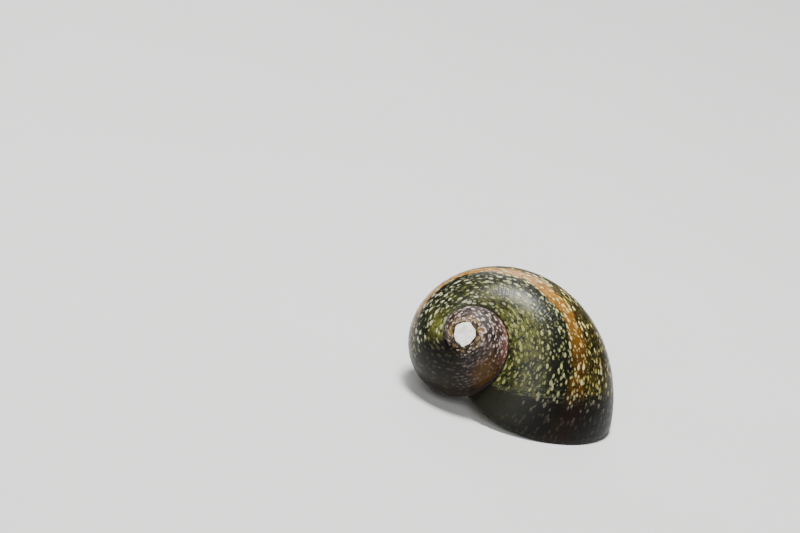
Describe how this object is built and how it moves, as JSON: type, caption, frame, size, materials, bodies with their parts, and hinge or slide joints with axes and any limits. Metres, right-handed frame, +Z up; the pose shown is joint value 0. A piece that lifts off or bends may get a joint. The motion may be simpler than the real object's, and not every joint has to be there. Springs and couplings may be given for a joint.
{
  "type": "nerite snail",
  "caption": "Life-size still model of a freshwater nerite snail: a glossy half-globe shell with a low eroded spire, standing on its foot with its head and tentacles out.",
  "frame": {"origin": "on the floor, under the middle of the whole animal's box", "axes": "+Z up, -Y towards the head, -X towards the snail's own right side, where the outer lip is"},
  "size_m": [0.023, 0.0262, 0.0145],
  "materials": {
    "shell_olive": "glossy dark olive green with pale flecks in spiral rows and an orange band",
    "shell_lip": "glossy brown-black last growth",
    "shell_spire": "glossy purple-brown with whitish flecks",
    "eroded_chalk": "matt chalky white",
    "callus": "smooth cream white",
    "skin": "moist dark grey-brown, finely mottled",
    "mantle": "moist dark brown",
    "eye": "wet black",
    "limy_plate": "smooth limy plate with fine growth lines"
  },
  "bodies": {
    "root": {"shell_body_whorl": "shell_olive", "shell_outer_lip": "shell_lip", "shell_spire": "shell_spire", "shell_apex": "eroded_chalk", "shell_deck": "callus", "mantle_edge": "mantle", "foot": "skin", "head": "skin", "tentacle_left": "skin", "tentacle_right": "skin", "eye_left": "eye", "eye_right": "eye", "operculum": "limy_plate"}
  },
  "joints": []
}
